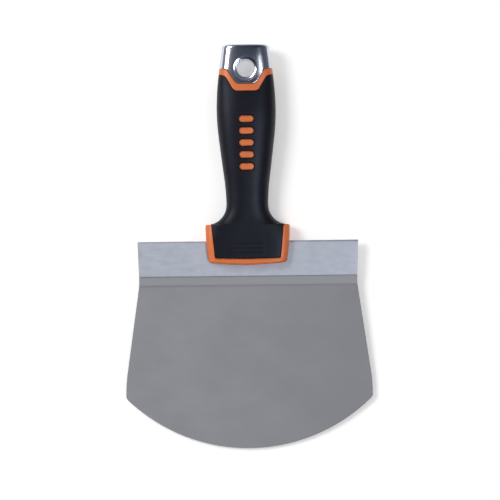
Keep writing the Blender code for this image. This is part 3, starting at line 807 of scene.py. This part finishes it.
def orange_finish():
    """Satin moulded plastic with faint flow marks."""
    finish = Finish("orange_plastic", Specular_IOR_Level=0.5)
    flow = finish.noise(7 * MM, (1, 3, 1))
    finish.colour(finish.ramp(flow, 0.3, 0.7), (0.685, 0.152, 0.031), (0.740, 0.173, 0.038))
    finish.roughness(finish.noise(2 * MM), 0.36, 0.44)
    finish.bump(finish.noise(0.5 * MM, detail=2.0), 0.006 * MM)
    return finish.material


def chrome_finish():
    """Polished plating with faint rubbing marks."""
    finish = Finish("chrome", Metallic=1.0)
    finish.colour(finish.ramp(finish.noise(6 * MM), 0.3, 0.7), (0.60, 0.625, 0.69), (0.66, 0.685, 0.745))
    scuff = finish.noise(0.5 * MM, (1, 14, 1), detail=4.0)
    finish.roughness(scuff, 0.15, 0.20)
    finish.bump(finish.noise(5 * MM), 0.007 * MM)
    return finish.material


def zinc_finish():
    """Galvanised sheet: bluish grey, softly mottled, with streaks along the strip."""
    finish = Finish("zinc_sheet", Metallic=1.0)
    streak = finish.noise(0.9 * MM, (16, 1, 1), detail=4.0)
    mottle = finish.noise(4 * MM, (1.8, 1, 1), detail=5.0, rough=0.6)
    base = finish.mixed(finish.ramp(mottle, 0.32, 0.68), (0.457, 0.469, 0.513), (0.549, 0.561, 0.605))
    finish.colour(finish.ramp(streak, 0.2, 0.8, 0.0, 0.26), base, (0.62, 0.64, 0.69))
    finish.roughness(mottle, 0.56, 0.61)
    finish.bump(streak, 0.006 * MM)
    return finish.material


def steel_finish():
    """Spring steel with a fine cross grind and soft clouds, painted darker towards the right as painted
    shade, and with a painted shade band just below the grind; its top is unground.
    """
    finish = Finish("spring_steel", Metallic=1.0)
    finish.place = finish.add("ShaderNodeUVMap", uv_map="flat").outputs["UV"]
    at = finish.add("ShaderNodeSeparateXYZ", {"Vector": finish.place}).outputs
    unground = finish.ramp(at["Y"], GRIND_Y - GRIND_STEP, GRIND_Y)
    cloud = finish.noise(22 * MM, (1.6, 1, 1), detail=3.0)
    lines = finish.noise(0.22 * MM, (60, 1, 1), detail=3.0)
    ground = finish.mixed(finish.ramp(cloud, 0.3, 0.7), (0.328, 0.323, 0.325), (0.372, 0.367, 0.369))
    # painted shade: the ground face is coloured darker towards the blade's right side
    painted_side_shade = finish.ramp(at["X"], -30 * MM, 60 * MM, 0.0, 0.62)
    ground = finish.mixed(painted_side_shade, ground, (0.270, 0.265, 0.267))
    ground = finish.mixed(finish.ramp(lines, 0.3, 0.7, 0.0, 0.14), ground, (0.50, 0.495, 0.495))
    # painted shade: a darker band on the ground face just below the grind step, where the step's shade falls
    painted_step_shade = finish.ramp(at["Y"], GRIND_Y - GRIND_FADE, GRIND_Y - GRIND_STEP)
    ground = finish.mixed(painted_step_shade, ground, (0.296, 0.290, 0.292))
    finish.colour(unground, ground, (0.381, 0.373, 0.378))
    finish.roughness(lines, 0.60, 0.66)
    finish.bump(lines, 0.003 * MM)
    return finish.material


def plain_steel_finish():
    """Hidden mild steel."""
    finish = Finish("mild_steel", Metallic=1.0)
    finish.colour(finish.ramp(finish.noise(3 * MM), 0.3, 0.7), (0.42, 0.42, 0.44), (0.50, 0.50, 0.52))
    finish.roughness(finish.noise(1 * MM), 0.4, 0.55)
    return finish.material


# ---------------------------------------------------------------- pieces and their bodies


def apply_modifiers(obj):
    """Makes the modifiers' result the object's mesh."""
    bpy.context.view_layer.update()
    graph = bpy.context.evaluated_depsgraph_get()
    mesh = bpy.data.meshes.new_from_object(obj.evaluated_get(graph), depsgraph=graph)
    obj.modifiers.clear()
    obj.data = mesh


def dress(obj, material, slot, *nodes):
    """Gives a piece its material and hides the CAD nodes that it stands in for. The slot argument is not
    used.
    """
    obj.data.materials.clear()
    obj.data.materials.append(material)
    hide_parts(*nodes)


def build_pieces():
    chrome = chrome_finish()
    skins = handle_skins()
    dress(skins["grip"], rubber_finish(), "black_rubber", "soft_grip")
    dress(skins["core"], orange_finish(), "orange_plastic", "handle_core")
    dress(skins["cap"], chrome, "chrome", "end_cap")
    eyelet = eyelet_ring()
    dress(eyelet, chrome, "chrome", "hang_eyelet")
    rail = rail_strip()
    dress(rail, zinc_finish(), "zinc_sheet", "back_rail")
    for piece in (*skins.values(), eyelet, rail):
        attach(piece, "handle")

    blade = blade_sheet()
    apply_modifiers(blade)
    dress(blade, steel_finish(), "spring_steel", "blade", "blade_root")
    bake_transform(blade)

    hidden = plain_steel_finish()
    for node in ("tang", "rail_rivet_left", "rail_rivet_middle", "rail_rivet_right"):
        for holder in frame["nodes"][node].material_slots:
            holder.material = hidden


# ---------------------------------------------------------------- floor, light and camera

FLOOR_SIZE = 12.0
FLOOR_GLOW = 0.34
FLOOR_ALBEDO = 0.86
FLOOR_SPREAD = 0.003
VIEW_CENTRE = Vector((1.29 * MM, 15.75 * MM, 0))
VIEW_WIDTH = 304.25 * MM
VIEW_DISTANCE = 1.6
VIEW_ROLL = 0.7 * DEG
SENSOR = 36.0


def floor_finish():
    """Plain pale light table."""
    finish = Finish(
        "floor", Specular_IOR_Level=0.0, Roughness=0.9,
        Emission_Color=(1, 1, 1, 1), Emission_Strength=FLOOR_GLOW,
    )
    cloud = finish.noise(60 * MM)
    finish.colour(cloud, [FLOOR_ALBEDO - FLOOR_SPREAD] * 3, [FLOOR_ALBEDO + FLOOR_SPREAD] * 3)
    return finish.material


def build_floor():
    mesh = bpy.data.meshes.new("floor")
    half = FLOOR_SIZE / 2
    mesh.from_pydata(
        [(-half, -half, 0), (half, -half, 0), (half, half, 0), (-half, half, 0)], [], [(0, 1, 2, 3)]
    )
    floor = bpy.data.objects.new("floor", mesh)
    bpy.context.scene.collection.objects.link(floor)
    mesh.materials.append(floor_finish())


def look_at(obj, place, target, up):
    """Puts obj at place, with its -Z axis towards target and its Y axis as near to up as can be."""
    back = (place - target).normalized()
    right = up.cross(back).normalized()
    turn = Matrix((right, back.cross(right), back)).transposed()
    obj.matrix_world = Matrix.Translation(place) @ turn.to_4x4()


def build_camera():
    data = bpy.data.cameras.new("camera")
    data.sensor_width = SENSOR
    data.lens = SENSOR * VIEW_DISTANCE / VIEW_WIDTH
    data.clip_start, data.clip_end = 0.05, 50
    camera = bpy.data.objects.new("camera", data)
    bpy.context.scene.collection.objects.link(camera)
    target = KNIFE @ VIEW_CENTRE
    place = KNIFE @ (VIEW_CENTRE + Vector((0, 0, VIEW_DISTANCE)))
    up = KNIFE.to_3x3() @ Vector((math.sin(VIEW_ROLL), math.cos(VIEW_ROLL), 0))
    look_at(camera, place, target, up)
    bpy.context.scene.camera = camera


def direction(azimuth, elevation):
    """Unit vector at an azimuth, counterclockwise from +X, and an elevation, both in degrees."""
    flat = math.cos(elevation * DEG)
    return Vector((flat * math.cos(azimuth * DEG), flat * math.sin(azimuth * DEG), math.sin(elevation * DEG)))


WARM_WHITE, COOL_WHITE = (1.0, 0.995, 0.985), (0.88, 0.93, 1.0)
LIGHT_TARGET = Vector((0, 0, 10 * MM))
# name, azimuth and elevation in degrees, distance, width, height, watts, colour, the rays that miss it
SOFTBOXES = [
    ("key_light", 153, 53, 1.6, 0.55, 0.60, 12.2, WARM_WHITE, "glossy"),
    ("key_shine", 150, 43, 1.6, 1.10, 0.40, 15.0, WARM_WHITE, "diffuse"),
    ("right_shine", -27, 66, 3.2, 1.60, 0.50, 40.0, COOL_WHITE, "diffuse"),
]


def build_softbox(name, azimuth, elevation, distance, width, height, watts, colour, missed_by):
    """Area light that faces the knife."""
    data = bpy.data.lights.new(name, "AREA")
    data.shape = "RECTANGLE"
    data.size, data.size_y = width, height
    data.energy = watts
    data.color = colour
    light = bpy.data.objects.new(name, data)
    bpy.context.scene.collection.objects.link(light)
    setattr(light, f"visible_{missed_by}", False)
    look_at(light, direction(azimuth, elevation) * distance, LIGHT_TARGET, Vector((0, 0, 1)))


# (height, colour) of the room that polished parts show. A direction's height is 1 along ROOM_UP, where the
# room is darkest, and 0 at right angles to it.
ROOM_UP = direction(50, 62)
ROOM = [
    (0.0, (0.22, 0.22, 0.25)),
    (0.20, (0.12, 0.12, 0.15)),
    (0.45, (0.20, 0.205, 0.25)),
    (0.72, (0.125, 0.135, 0.170)),
    (0.88, (0.068, 0.081, 0.108)),
    (1.0, (0.010, 0.014, 0.024)),
]
AMBIENT = (0.50, 0.50, 0.50)
BACKDROP = tuple(FLOOR_GLOW + FLOOR_ALBEDO * share for share in AMBIENT)


def build_room():
    """World light: a dim room for polished parts, even light for matt ones, a pale view for the camera."""
    world = bpy.data.worlds.new("room")
    world.use_nodes = True
    bpy.context.scene.world = world
    tree = world.node_tree
    tree.nodes.clear()
    link = tree.links.new
    place = tree.nodes.new("ShaderNodeTexCoord")
    height = tree.nodes.new("ShaderNodeVectorMath")
    height.operation = "DOT_PRODUCT"
    height.inputs[1].default_value = ROOM_UP
    ramp = tree.nodes.new("ShaderNodeValToRGB")
    link(place.outputs["Generated"], height.inputs[0])
    link(height.outputs["Value"], ramp.inputs["Fac"])
    stops = ramp.color_ramp.elements
    while len(stops) < len(ROOM):
        stops.new(0.5)
    for stop, (position, colour) in zip(stops, ROOM):
        stop.position = position
        stop.color = (*colour, 1)
    rays = tree.nodes.new("ShaderNodeLightPath")
    room = tree.nodes.new("ShaderNodeBackground")
    link(ramp.outputs["Color"], room.inputs["Color"])
    shader = room.outputs["Background"]
    for ray, colour in (("Is Diffuse Ray", AMBIENT), ("Is Camera Ray", BACKDROP)):
        even = tree.nodes.new("ShaderNodeBackground")
        even.inputs["Color"].default_value = (*colour, 1)
        mix = tree.nodes.new("ShaderNodeMixShader")
        link(rays.outputs[ray], mix.inputs["Fac"])
        link(shader, mix.inputs[1])
        link(even.outputs["Background"], mix.inputs[2])
        shader = mix.outputs["Shader"]
    output = tree.nodes.new("ShaderNodeOutputWorld")
    link(shader, output.inputs["Surface"])


def build_studio():
    build_floor()
    build_camera()
    build_room()
    for softbox in SOFTBOXES:
        build_softbox(*softbox)
    view = bpy.context.scene.view_settings
    view.view_transform = "Standard"
    view.look = "None"
    view.exposure = 0.0
    view.gamma = 1.0


build_pieces()
build_studio()
